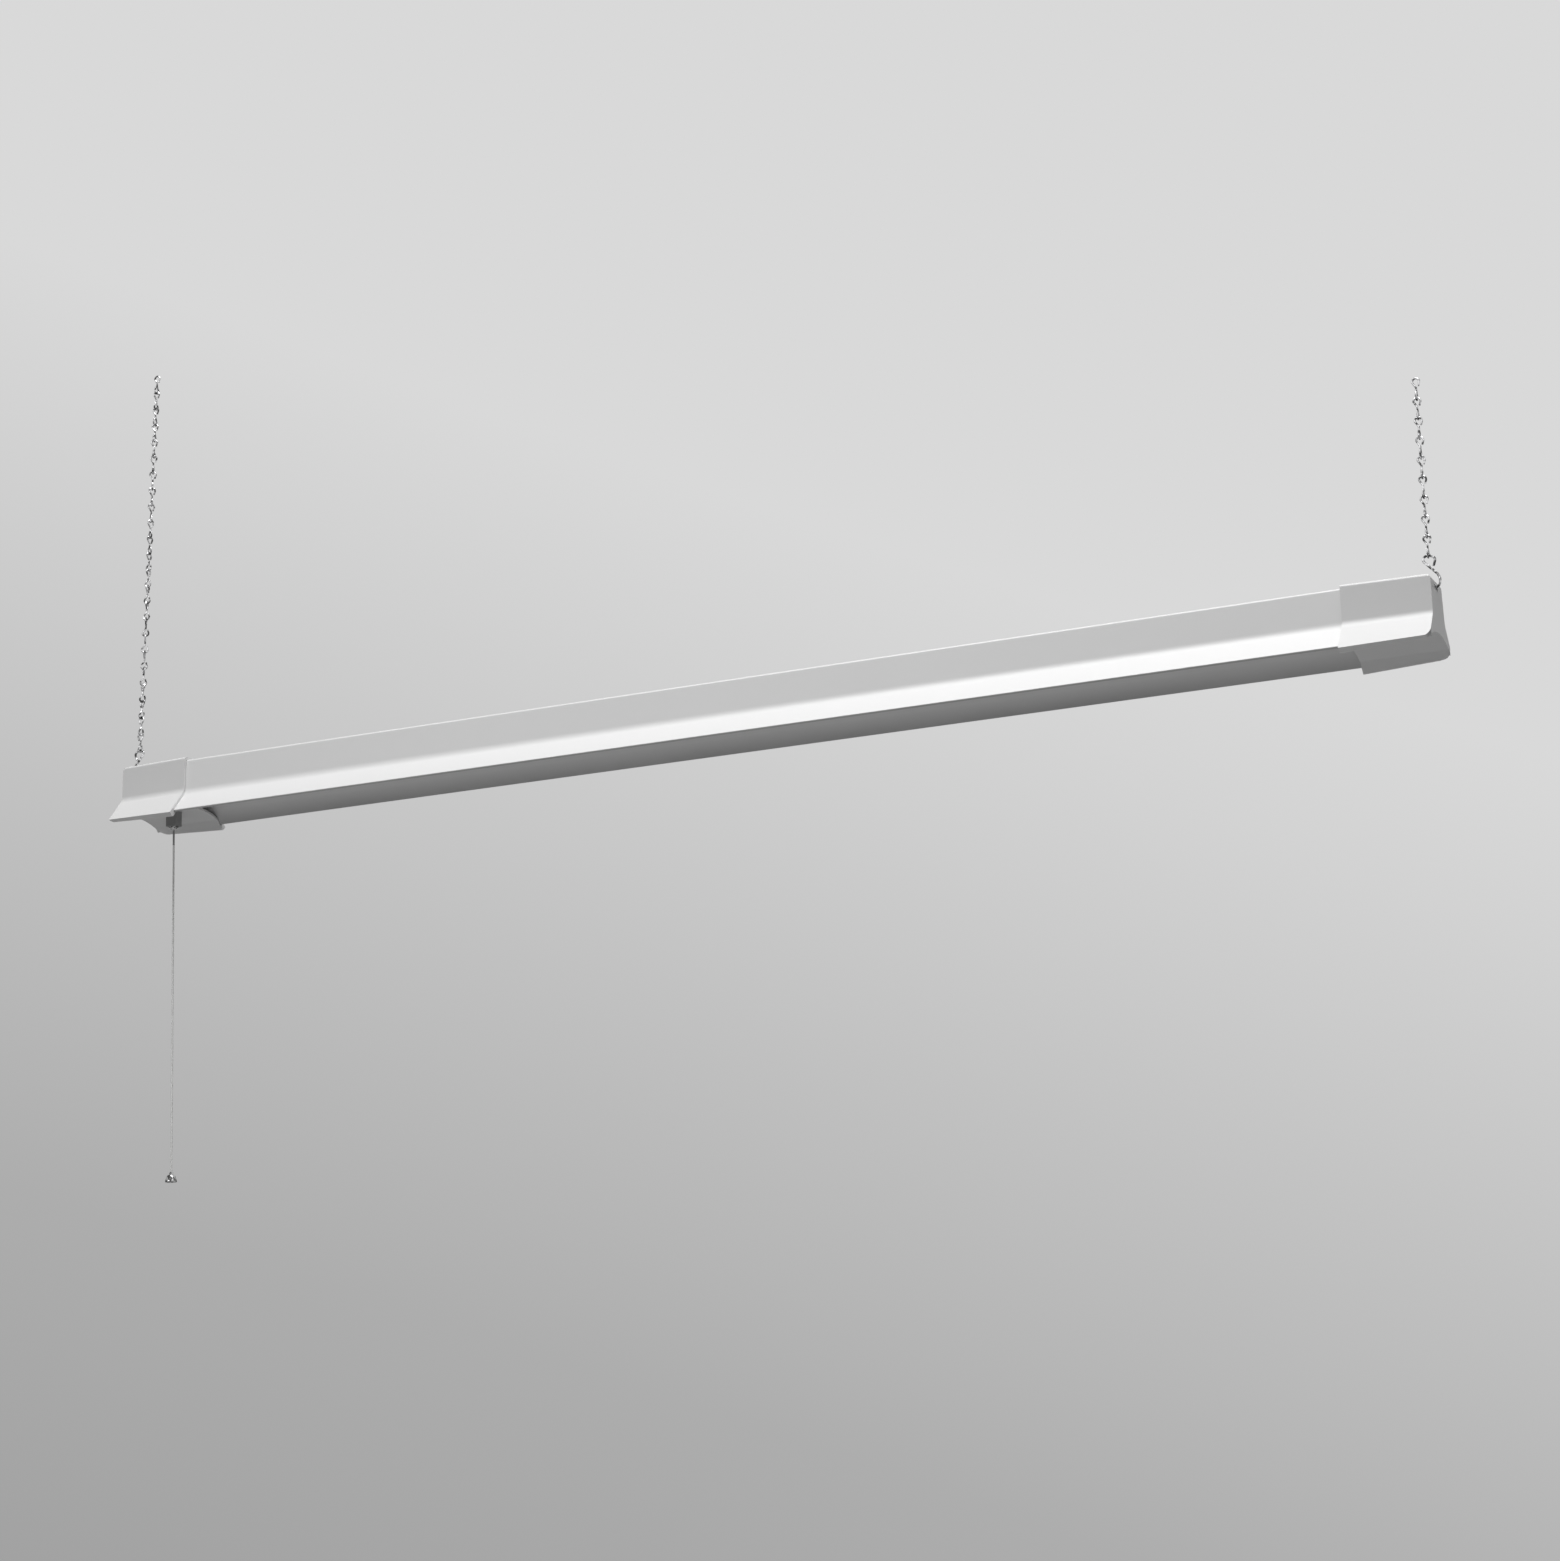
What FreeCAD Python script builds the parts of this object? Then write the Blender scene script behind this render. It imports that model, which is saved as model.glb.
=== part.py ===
"""Hanging shop light, about 1.2 m long: an open-bottomed metal housing with two moulded end caps,
hung level on two single jack chains, and switched by a pull cord under its left end.

Millimetres. +X runs along the light to the right, +Y away from the front, +Z up.
The model is laid out from the light's own centre: X = 0 halfway along it and Z = 0 at the level
of the housing's lower edges. When it is saved, everything moves so that the origin is the
centre of the top loop of the left chain, where the ceiling hook goes.
"""
import FreeCAD
import Part
import math
import os

V = FreeCAD.Vector

# ---------------------------------------------------------------- driving dimensions
# Light
overall_length = 1220.0        # outside of one end wall to the outside of the other

# Housing: an extruded section, given as its right half
housing_height = 51.0          # flat top above the lower edges
top_half_width = 18.4
bend_half_width = 20.2         # where the lines of the side and the wing cross
bend_height = 19.6
wing_half_width = 37.6         # outer tip of the wing
wing_tip_height = 0.3
top_corner_radius = 2.0
bend_radius = 12.0
housing_wall = 1.2
hem_height = 7.0               # below here the wing thickens inwards
tip_wall = 2.5                 # to this, at its square-cut tip
rib_reach = 2.3                # grooves for the lens and the carrier plate
rib_wall = 1.1
groove_clearance = 0.15        # above and below what slides in

# End caps
cap_length = 70.0
cap_mouth_step = 2.5           # how far the cap stands outside the housing at its mouth
cap_end_step = 1.3             # and at its outer end
cap_mouth_drop = 2.4           # outer corner of the wing's lower edge, below Z = 0
cap_end_drop = 1.0
cap_mouth_lip = 4.8            # width of that lower edge, cut square to the wing
cap_end_lip = 2.6
cap_pocket_depth = 12.0        # length of housing held in the cap
cap_fit = 0.25                 # clearance round the housing in the pocket
cap_bend_radius = 10.0
cap_end_wall = 2.0
cap_top_round = 4.0
cap_wing_round = 9.0           # lower outer corner, at the wing's tip
cap_front_left_round = 3.0     # the same corner at the front of the left cap
vault_height = 7.8             # arched underside of the cap, at its middle
vault_radius = 88.0
vault_wall = 2.0
vault_half_width = 31.0        # where the arch meets the slanting inside of the lip
lip_slant = 7.5                # outward lean of the lip's inner face
lip_fall = 8.2
wing_round_start = 34.0        # half width outside which the lower outer corner is rounded
hook_slot_width = 12.0
hook_slot_below_roof = 4.2     # top of the slot, below the housing's flat top
hook_slot_height = 3.8
roof_slot_start = 3.0          # from the outside of the end wall
roof_slot_length = 7.5

# Lens, carrier plate and lamp boards
lens_height = 25.0             # underside of its feet
lens_wall = 1.2
lens_foot = 4.0
lens_drop = 4.5                # bulge below the feet
slide_side_gap = 0.35
slide_end_gap = 3.5            # from the end of the lens and the plate to the cap's mouth
carrier_height = 31.3
carrier_wall = 1.5
board_width = 24.0
board_wall = 1.6
board_gap = 6.0                # between the two boards
board_end_gap = 6.0
chip_size = 3.0
chip_height = 0.8
chips_per_board = 12
connector_block_length = 18.0
connector_block_width = 7.0
connector_block_height = 2.6

# Driver
driver_from_mouth = 160.0      # left end of the case, from the mouth of the left cap
driver_length = 170.0
driver_width = 28.0
driver_headroom = 2.5          # over the case, below the housing's roof
driver_round = 1.5
driver_ear = 8.0
driver_ear_wall = 1.2
tab_length = 7.0               # tabs bent up from the carrier plate over the driver's ears
tab_width = 8.0
tab_wall = 1.2
tab_gap = 0.15

# Mains inlet on the roof
inlet_from_mouth = 85.0
inlet_bore_radius = 3.75
inlet_neck_radius = 5.4
inlet_flange_radius = 8.0
inlet_flange_wall = 2.0
inlet_fit = 0.1

# Screws
screw_radius = 1.5
screw_head_radius = 3.0
screw_head_height = 2.0
cap_screw_from_mouth = 6.0
cap_screw_reach = 2.5          # below the housing's roof

# Pull switch in the left cap
switch_from_mouth = 27.0
switch_width = 12.0
switch_depth = 10.0
switch_bottom = -5.8
switch_top = 24.0
switch_round = 1.5
switch_fit = 0.3               # round the switch where it passes the cap's underside
switch_bore_radius = 1.9
pull_travel = 8.0
plunger_fit = 0.1              # its collar in the switch's bore
bushing_radius = 3.2
bushing_bore_radius = 1.2
bushing_seat = 4.2             # length held in the switch
bushing_lip = 0.7              # length below the nut
nut_radius = 5.2
nut_height = 2.0
switch_flange_wall = 1.6       # flange that rests on the cap's vault
switch_flange_reach = 3.0      # beyond the switch, along the light

# Pull cord
cord_radius = 0.9
cord_pivot_gap = 0.5           # where one length swings on the next
cord_below_bushing = 0.3
plunger_collar_height = 2.0
plunger_rest_gap = 0.3         # collar above the bushing at full travel
ferrule_bottom = -22.9
cord_bottom = -325.0
bell_radius = 5.4
bell_height = 9.0
bell_shoulder_radius = 3.7
bell_neck_radius = 1.8
bell_neck_height = 2.2
bell_sides = 20

# Hooks and chains
hook_wire = 2.0
hook_bend_radius = 4.6         # centre line of the lower bend, round the end wall
hook_gap = 0.06
hook_tip_rise = 3.3
hook_shank_rise = 7.8          # where the shank turns inwards, above the slot's top
hook_inner_corner = (-9.0, 22.6)   # offset from the end wall's middle, and from the slot's top
hook_apex = (-3.0, 25.6)
hook_outer_corner = (2.6, 22.1)
hook_free_end = (0.5, 16.1)
hook_shank_bend = 9.0
hook_inner_bend = 3.0
hook_apex_bend = 2.2
hook_outer_bend = 2.6
chain_wire = 1.6
chain_pitch = 16.0
chain_gap = 0.12
loop_radius = 2.8              # centre line of the rounded end of a loop
loop_widest = 0.2              # widest place above the centre of that rounding
neck_half_length = 1.2
tip_spacing = 1.75             # centre of a cut tip from the neck
tip_height = 2.4
wire_sides = 8
lead_sides = 6
left_links = 23
right_links = 9
left_lean = 2.5                # degrees inwards, going up
right_lean = -0.8
left_twist_total = 180.0       # turn of the left chain from its third link to its last
plain_links = 3                # top links that the twist leaves square

# Wires inside
lead_radius = 1.1
lead_bend = 6.0
lead_half_spacing = 4.0
connector_from_mouth = 40.0
connector_length = 20.0
connector_radius = 3.8
connector_tip_radius = 2.7
connector_sides = 8
lead_hole_radius = 2.2

# ---------------------------------------------------------------- derived places
half_length = overall_length / 2.0
mouth_x = half_length - cap_length
pocket_x = mouth_x + cap_pocket_depth
housing_half_length = pocket_x - cap_fit
slide_half_length = mouth_x - slide_end_gap
switch_x = -(mouth_x + switch_from_mouth)
connector_x = -(mouth_x - connector_from_mouth)
inlet_x = -(mouth_x - inlet_from_mouth)
driver_x = -(mouth_x - driver_from_mouth)
roof_inside = housing_height - housing_wall
carrier_top = carrier_height + carrier_wall
driver_height = roof_inside - driver_headroom - carrier_top
lead_height = (carrier_top + roof_inside) / 2.0
hook_slot_top = housing_height - hook_slot_below_roof
hook_x = half_length - cap_end_wall / 2.0
hook_inner_radius = hook_bend_radius - hook_wire / 2.0
hook_eye_height = hook_slot_top + math.sqrt(
    (hook_inner_radius - hook_gap) ** 2 - (cap_end_wall / 2.0) ** 2)
loop_reach = (chain_pitch + chain_wire + chain_gap) / 2.0
bushing_bottom = switch_bottom - nut_height - bushing_lip
bushing_top = switch_bottom + bushing_seat
plunger_top = bushing_top + pull_travel + plunger_rest_gap + plunger_collar_height
half_root = math.sqrt(0.5)


# ---------------------------------------------------------------- shared shapes
def crossing(p, u, q, w):
    """Where the line through p along u meets the line through q along w, in (y, z)."""
    det = u[0] * -w[1] + w[0] * u[1]
    t = ((q[0] - p[0]) * -w[1] + w[0] * (q[1] - p[1])) / det
    return (p[0] + u[0] * t, p[1] + u[1] * t)


def unit(p, q):
    length = math.hypot(q[0] - p[0], q[1] - p[1])
    return ((q[0] - p[0]) / length, (q[1] - p[1]) / length)


top_corner = (top_half_width, housing_height)
bend_corner = (bend_half_width, bend_height)
wing_tip = (wing_half_width, wing_tip_height)
side_way = unit(top_corner, bend_corner)
wing_way = unit(bend_corner, wing_tip)


def outward(point, way, distance):
    """The point moved square to a face of the right half, away from the housing."""
    return (point[0] - way[1] * distance, point[1] + way[0] * distance)


def side_at(height, offset):
    """Half width of the side wall's face at a height, moved out by the offset."""
    return crossing(outward(top_corner, side_way, offset), side_way, (0, height), (1, 0))


def wing_at(height, offset):
    return crossing(outward(bend_corner, wing_way, offset), wing_way, (0, height), (1, 0))


def bend_at(offset, wing_offset=None):
    """Where the side's line and the wing's line cross, each moved out by its offset."""
    if wing_offset is None:
        wing_offset = offset
    return crossing(outward(top_corner, side_way, offset), side_way,
                    outward(bend_corner, wing_way, wing_offset), wing_way)


def corner_points(before, corner, after, radius):
    """Start, middle and end of the arc that rounds a corner."""
    u = (before - corner).normalize()
    w = (after - corner).normalize()
    half = u.getAngle(w) / 2.0
    reach = radius / math.tan(half)
    middle = (u + w).normalize() * (radius / math.sin(half) - radius)
    return corner + u * reach, corner + middle, corner + w * reach


def outline(corners, x):
    """Closed wire in the plane X = x from (y, z, radius) corners, rounded where radius > 0."""
    points = [V(x, c[0], c[1]) for c in corners]
    edges = []
    ends = []
    for i, corner in enumerate(corners):
        if corner[2] > 0:
            start, middle, end = corner_points(points[i - 1], points[i],
                                               points[(i + 1) % len(points)], corner[2])
            edges.append(Part.Arc(start, middle, end).toShape())
            ends.append((start, end))
        else:
            ends.append((points[i], points[i]))
    for i in range(len(corners)):
        here = ends[i][1]
        there = ends[(i + 1) % len(corners)][0]
        edges.append(Part.LineSegment(here, there).toShape())
    return Part.Wire(Part.sortEdges(edges)[0])


def extrude_x(wire, start, end):
    face = Part.Face(wire)
    face.translate(V(start - wire.BoundBox.XMin, 0, 0))
    return face.extrude(V(end - start, 0, 0))


def rounded_route(corners, step=30.0):
    """Points of a route whose (point, radius) corners are rounded by short chords."""
    route = []
    for i, (point, radius) in enumerate(corners):
        if radius <= 0 or i in (0, len(corners) - 1):
            route.append(point)
            continue
        start, middle, end = corner_points(corners[i - 1][0], point, corners[i + 1][0], radius)
        centre = middle + (middle - point).normalize() * radius
        first = start - centre
        last = end - centre
        turn = first.getAngle(last)
        chords = max(1, int(math.ceil(math.degrees(turn) / step)))
        # vertices stand outside the arc, so that each chord touches it
        stretch = 1.0 / math.cos(turn / chords / 2.0)
        route.append(start)
        for k in range(chords):
            share = (k + 0.5) / chords
            arm = first * math.sin((1 - share) * turn) + last * math.sin(share * turn)
            route.append(centre + arm / math.sin(turn) * stretch)
        route.append(end)
    return route


def ringed_solid(rings):
    """Solid with flat faces between successive rings of corners, closed at both ends."""
    faces = [Part.Face(Part.makePolygon(ends + [ends[0]])) for ends in (rings[0], rings[-1])]
    for low, high in zip(rings, rings[1:]):
        for k in range(len(low)):
            n = (k + 1) % len(low)
            faces.append(Part.Face(Part.makePolygon(
                [low[k], low[n], high[n], high[k], low[k]])))
    solid = Part.makeSolid(Part.makeShell(faces))
    if solid.Volume < 0:
        solid.reverse()
    return solid


def bent_wire(route, radius, across, sides=wire_sides):
    """A wire of flat-sided section along straight lengths mitred at each point.

    across is a direction square to the first length; the section has a flat facing it.
    """
    ways = [(b - a).normalize() for a, b in zip(route, route[1:])]
    second = ways[0].cross(across).normalize()
    first = second.cross(ways[0]).normalize()
    reach = radius / math.cos(math.pi / sides)
    ring = []
    for k in range(sides):
        angle = (k + 0.5) * 2 * math.pi / sides
        ring.append(route[0] + first * (reach * math.cos(angle))
                    + second * (reach * math.sin(angle)))
    rings = [ring]
    for i, way in enumerate(ways):
        after = ways[i + 1] if i + 1 < len(ways) else way
        normal = (way + after).normalize()
        point = route[i + 1]
        rings.append([p + way * ((point - p).dot(normal) / way.dot(normal))
                      for p in rings[-1]])
    return ringed_solid(rings)


def box(x0, x1, y0, y1, z0, z1):
    return Part.makeBox(x1 - x0, y1 - y0, z1 - z0, V(x0, y0, z0))


def mirror_x(shape):
    return shape.mirror(V(0, 0, 0), V(1, 0, 0))


def hex_screw(seat, way, length):
    """Hex-head screw with its head's underside at seat and its shank along way."""
    corners = [math.radians(60.0 * k) for k in range(7)]
    ring = [V(screw_head_radius * math.cos(a), screw_head_radius * math.sin(a), 0)
            for a in corners]
    head = Part.Face(Part.makePolygon(ring)).extrude(V(0, 0, screw_head_height))
    shank = Part.makeCylinder(screw_radius, length, V(0, 0, -length))
    screw = head.fuse(shank)
    screw.Placement = FreeCAD.Placement(seat, FreeCAD.Rotation(V(0, 0, -1), way))
    return screw


# ---------------------------------------------------------------- housing
def housing_outline(grow, ribs):
    """Housing section with every face moved out by grow, and the slide-in grooves if asked."""
    inner = -(housing_wall + grow)
    tip = wing_at(wing_tip_height, 0)
    low_tip = outward(tip, wing_way, -tip_wall)
    if grow:
        tip = crossing(outward(tip, wing_way, grow), wing_way,
                       (tip[0] + wing_way[0] * grow, tip[1] + wing_way[1] * grow),
                       (wing_way[1], -wing_way[0]))
        low_tip = outward(tip, wing_way, -(tip_wall + 2 * grow))
    corners = [(0, housing_height + grow, 0),
               (top_half_width_at(grow), housing_height + grow, top_corner_radius + grow),
               bend_at(grow) + (bend_radius - grow,),
               tip + (0 if grow else 0.5,),
               low_tip + (0 if grow else 0.8,),
               wing_at(hem_height + grow, inner) + (0,),
               bend_at(inner) + (bend_radius - inner - 2,)]
    if ribs:
        for low in groove_heights():
            for bottom in (low[0] - groove_clearance - rib_wall, low[1] + groove_clearance):
                for z, offset in ((bottom, inner), (bottom, inner - rib_reach),
                                  (bottom + rib_wall, inner - rib_reach),
                                  (bottom + rib_wall, inner)):
                    corners.append(side_at(z, offset) + (0,))
    corners.append((side_at(roof_inside - grow, inner)[0], roof_inside - grow,
                    max(top_corner_radius - housing_wall, 0.3)))
    return corners


def top_half_width_at(grow):
    return side_at(housing_height + grow, grow)[0]


def groove_heights():
    """Bottom and top of what slides in: the lens's feet, then the carrier plate."""
    return [(lens_height, lens_height + lens_wall),
            (carrier_height, carrier_top)]


def section_wire(right_half, x):
    """Outline of a section symmetric about Y = 0 whose first corner is on the centre line."""
    left = [(-y, z, r) for y, z, r in reversed(right_half[1:])]
    return outline([right_half[0]] + right_half[1:] + left, x)


def make_housing():
    shell = extrude_x(section_wire(housing_outline(0.0, True), 0.0),
                      -housing_half_length, housing_half_length)
    inlet = Part.makeCylinder(inlet_neck_radius + inlet_fit, 10,
                              V(inlet_x, 0, housing_height - 5))
    holes = [inlet]
    for x in cap_screw_places():
        holes.append(Part.makeCylinder(screw_radius, 10, V(x, 0, housing_height - 5)))
    return shell.cut(holes)


def cap_screw_places():
    x = mouth_x + cap_screw_from_mouth
    return [-x, x]


# ---------------------------------------------------------------- end caps
def cap_step_at(x):
    share = (abs(x) - mouth_x) / cap_length
    return cap_mouth_step + (cap_end_step - cap_mouth_step) * share


def cap_top_at(x):
    return housing_height + cap_step_at(x)


def cap_section(x, step, drop, lip):
    """Sharp-cornered outside of the cap at one place, standing off the housing by step."""
    tip = wing_at(-drop, step)
    low_tip = outward(tip, wing_way, -lip)
    half = [(top_half_width_at(step), housing_height + step), bend_at(step), tip, low_tip]
    return [V(x, y, z) for y, z in half + [(-y, z) for y, z in reversed(half)]]


def cap_block():
    """The cap's outside before it is hollowed, tapering from its mouth to its end wall."""
    block = ringed_solid([
        cap_section(mouth_x, cap_mouth_step, cap_mouth_drop, cap_mouth_lip),
        cap_section(half_length, cap_end_step, cap_end_drop, cap_end_lip)])
    along_cap = [e for e in block.Edges if e.BoundBox.XLength > cap_length * 0.9]
    tops = [e for e in along_cap if e.CenterOfMass.z > housing_height]
    block = block.makeFillet(top_corner_radius + 0.6, tops)
    along_cap = [e for e in block.Edges if e.BoundBox.XLength > cap_length * 0.9]
    bends = [e for e in along_cap if abs(e.CenterOfMass.z - bend_height) < 5]
    return block.makeFillet(cap_bend_radius, bends)


def vault(grow):
    """Cylinder under the cap; its top is the arched underside, moved up by grow."""
    return Part.makeCylinder(vault_radius + grow, cap_length + 4,
                             V(mouth_x - 2, 0, vault_height - vault_radius), V(1, 0, 0))


def cavity_corners(floor):
    """The space inside the cap's walls, down to below its vault."""
    upper = -(housing_wall + cap_fit)
    return [(0, roof_inside - cap_fit, 0),
            (side_at(roof_inside - cap_fit, upper)[0], roof_inside - cap_fit, 0),
            bend_at(upper) + (0,),
            wing_at(floor, upper) + (0,)]


def corner_cut(x, z, radius, up, y0, y1):
    """What is cut away from y0 to y1 to round the corner at (x, z) of the side view."""
    sign = 1 if up else -1
    middle = V(x - radius + radius * half_root, y0, z - sign * radius * (1 - half_root))
    arc = Part.Arc(V(x - radius, y0, z), middle, V(x, y0, z - sign * radius)).toShape()
    around = [V(x, y0, z - sign * radius), V(x + 2, y0, z - sign * radius),
              V(x + 2, y0, z + sign * 5), V(x - radius, y0, z + sign * 5),
              V(x - radius, y0, z)]
    return Part.Face(Part.Wire([arc] + Part.makePolygon(around).Edges)).extrude(
        V(0, y1 - y0, 0))


def wing_corner_cut(side, radius):
    """Rounds the lower outer corner of one wing, outside the vault."""
    z = -cap_end_drop - cap_end_lip * -wing_way[1]
    ends = sorted([side * wing_round_start, side * (wing_half_width + 10)])
    return corner_cut(half_length, z, radius, False, ends[0], ends[1])


def make_right_cap(front_round):
    cavity = extrude_x(section_wire(cavity_corners(-20.0), 0.0),
                       mouth_x - 1, half_length - cap_end_wall).cut(vault(vault_wall))
    pocket = extrude_x(section_wire(housing_outline(cap_fit, False), 0.0),
                       mouth_x - 1, pocket_x)
    shoulder = (vault_height - vault_radius
                + math.sqrt(vault_radius ** 2 - vault_half_width ** 2))
    between_lips = extrude_x(Part.makePolygon(
        [V(0, y, z) for y, z in ((vault_half_width, 20), (vault_half_width, shoulder),
                                 (vault_half_width + lip_slant, shoulder - lip_fall),
                                 (-vault_half_width - lip_slant, shoulder - lip_fall),
                                 (-vault_half_width, shoulder), (-vault_half_width, 20),
                                 (vault_half_width, 20))]), mouth_x - 1, half_length + 1)
    end_slot = box(half_length - cap_end_wall - 1, half_length + 1,
                   -hook_slot_width / 2, hook_slot_width / 2,
                   hook_slot_top - hook_slot_height, hook_slot_top)
    roof_end = half_length - roof_slot_start
    roof_slot = box(roof_end - roof_slot_length, roof_end,
                    -hook_slot_width / 2, hook_slot_width / 2,
                    roof_inside - cap_fit - 1, housing_height + 10)
    top_round = corner_cut(half_length, cap_top_at(half_length), cap_top_round, True,
                           -wing_half_width, wing_half_width)
    cuts = [cavity, pocket, between_lips.common(vault(0)), end_slot, roof_slot, top_round,
            wing_corner_cut(-1, front_round), wing_corner_cut(1, cap_wing_round)]
    cuts.append(Part.makeCylinder(screw_radius, 12,
                                  V(cap_screw_places()[1], 0, housing_height - 5)))
    return cap_block().cut(cuts)


def make_left_cap():
    cap = mirror_x(make_right_cap(cap_front_left_round))
    half_w = switch_width / 2 + switch_fit
    half_d = switch_depth / 2 + switch_fit
    window = box(switch_x - half_w, switch_x + half_w, -half_d, half_d,
                 vault_height - 5, vault_height + vault_wall + 2)
    return cap.cut(window)


# ---------------------------------------------------------------- lens, carrier, boards
def make_lens():
    half = side_at(lens_height, -housing_wall)[0] - slide_side_gap
    curve = half - lens_foot
    top = lens_height + lens_wall
    edges = [Part.LineSegment(V(0, -half, lens_height), V(0, -curve, lens_height)).toShape(),
             Part.Arc(V(0, -curve, lens_height), V(0, 0, lens_height - lens_drop),
                      V(0, curve, lens_height)).toShape(),
             Part.LineSegment(V(0, curve, lens_height), V(0, half, lens_height)).toShape(),
             Part.LineSegment(V(0, half, lens_height), V(0, half, top)).toShape(),
             Part.LineSegment(V(0, half, top), V(0, curve, top)).toShape(),
             Part.Arc(V(0, curve, top), V(0, 0, top - lens_drop), V(0, -curve, top)).toShape(),
             Part.LineSegment(V(0, -curve, top), V(0, -half, top)).toShape(),
             Part.LineSegment(V(0, -half, top), V(0, -half, lens_height)).toShape()]
    return extrude_x(Part.Wire(edges), -slide_half_length, slide_half_length)


def make_carrier():
    """Plate that slides into the housing, with a tab over each end of the driver."""
    top = carrier_top
    half = side_at(top, -housing_wall)[0] - slide_side_gap
    plate = box(-slide_half_length, slide_half_length, -half, half, carrier_height, top)
    over = top + driver_ear_wall + tab_gap
    tabs = []
    for x, side in ((driver_x - driver_ear, -1), (driver_x + driver_length + driver_ear, 1)):
        x = x + side * tab_gap
        upright = box(min(x, x + side * tab_wall), max(x, x + side * tab_wall),
                      -tab_width / 2, tab_width / 2, top, over + tab_wall)
        inner = x - side * (tab_length - tab_wall)
        lid = box(min(x, inner), max(x, inner), -tab_width / 2, tab_width / 2,
                  over, over + tab_wall)
        tabs += [upright, lid]
    slot = box(lamp_lead_x() - lead_hole_radius, lamp_lead_x() + lead_hole_radius,
               -lead_half_spacing - lead_hole_radius, lead_half_spacing + lead_hole_radius,
               carrier_height - 1, top + 1)
    return plate.fuse(tabs).removeSplitter().cut(slot)


def board_ends():
    start = slide_half_length - board_end_gap
    return [(-start, -board_gap / 2), (board_gap / 2, start)]


def make_board(start, end):
    half = board_width / 2
    return box(start, end, -half, half, carrier_height - board_wall, carrier_height)


def make_chips():
    chips = []
    half = chip_size / 2
    top = carrier_height - board_wall
    for start, end in board_ends():
        pitch = (end - start) / chips_per_board
        for i in range(chips_per_board):
            x = start + pitch * (i + 0.5)
            chips.append(box(x - half, x + half, -half, half, top - chip_height, top))
    return Part.makeCompound(chips)


def make_board_connector():
    """Plug and socket that join one board to the next, under the gap between them."""
    low = carrier_height - board_wall
    half_w = connector_block_width / 2
    return box(-connector_block_length / 2, connector_block_length / 2, -half_w, half_w,
               low - connector_block_height, low)


# ---------------------------------------------------------------- driver and wiring
def lamp_lead_x():
    return driver_x + driver_length + driver_ear + 12


def make_driver():
    floor = carrier_top
    half = driver_width / 2
    case = box(driver_x, driver_x + driver_length, -half, half, floor, floor + driver_height)
    upright = [e for e in case.Edges
               if abs(e.Vertexes[0].Z - e.Vertexes[1].Z) > driver_height / 2]
    case = case.makeFillet(driver_round, upright)
    ears = box(driver_x - driver_ear, driver_x + driver_length + driver_ear,
               -half / 2, half / 2, floor, floor + driver_ear_wall)
    return case.fuse(ears)


def make_switch_leads():
    leads = []
    for side in (-1, 1):
        y = side * lead_half_spacing - 4
        corners = [(V(switch_x, y, switch_top), 0), (V(switch_x, y, lead_height), lead_bend),
                   (V(connector_x, y, lead_height), 0)]
        leads.append(bent_wire(rounded_route(corners), lead_radius, V(0, 1, 0), lead_sides))
    return Part.makeCompound(leads)


def make_connectors():
    """Two twist-on connectors lying along the light, one for each lead of the switch."""
    caps = []
    for side in (-1, 1):
        y = side * lead_half_spacing - 4
        turns = [math.radians(360.0 * k / connector_sides) for k in range(connector_sides)]
        rings = [[V(x, y + radius * math.cos(a), lead_height + radius * math.sin(a))
                  for a in turns]
                 for x, radius in ((connector_x, connector_radius),
                                   (connector_x + connector_length, connector_tip_radius))]
        caps.append(ringed_solid(rings))
    return Part.makeCompound(caps)


def make_supply_leads():
    leads = []
    start = connector_x + connector_length
    for side in (-1, 1):
        y = side * lead_half_spacing - 4
        corners = [(V(start, y, lead_height), 0), (V(driver_x, y, lead_height), 0)]
        leads.append(bent_wire(rounded_route(corners), lead_radius, V(0, 1, 0), lead_sides))
    return Part.makeCompound(leads)


def make_lamp_leads():
    leads = []
    start = driver_x + driver_length
    for y in (-lead_half_spacing, lead_half_spacing):
        corners = [(V(start, y, lead_height), 0), (V(lamp_lead_x(), y, lead_height), 3),
                   (V(lamp_lead_x(), y, carrier_height), 0)]
        leads.append(bent_wire(rounded_route(corners), lead_radius, V(0, 1, 0), lead_sides))
    return Part.makeCompound(leads)


def make_inlet_bushing():
    """Snap-in bushing with an eight-sided flange, in the housing's roof."""
    low = roof_inside - inlet_flange_wall
    ring = [V(inlet_x + inlet_flange_radius * math.cos(a),
              inlet_flange_radius * math.sin(a), housing_height)
            for a in [math.radians(45.0 * k + 22.5) for k in range(9)]]
    flange = Part.Face(Part.makePolygon(ring)).extrude(V(0, 0, inlet_flange_wall))
    neck = Part.makeCylinder(inlet_neck_radius, housing_height - low, V(inlet_x, 0, low))
    bore = Part.makeCylinder(inlet_bore_radius, housing_height + inlet_flange_wall - low,
                             V(inlet_x, 0, low))
    return flange.fuse(neck).cut(bore)


def make_cap_screws():
    """The two screws that hold the caps on the housing."""
    screws = []
    for x in cap_screw_places():
        seat = V(x, 0, cap_top_at(abs(x) - screw_head_radius))
        screws.append(hex_screw(seat, V(0, 0, -1),
                                seat.z - roof_inside + cap_screw_reach))
    return Part.makeCompound(screws)


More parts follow.
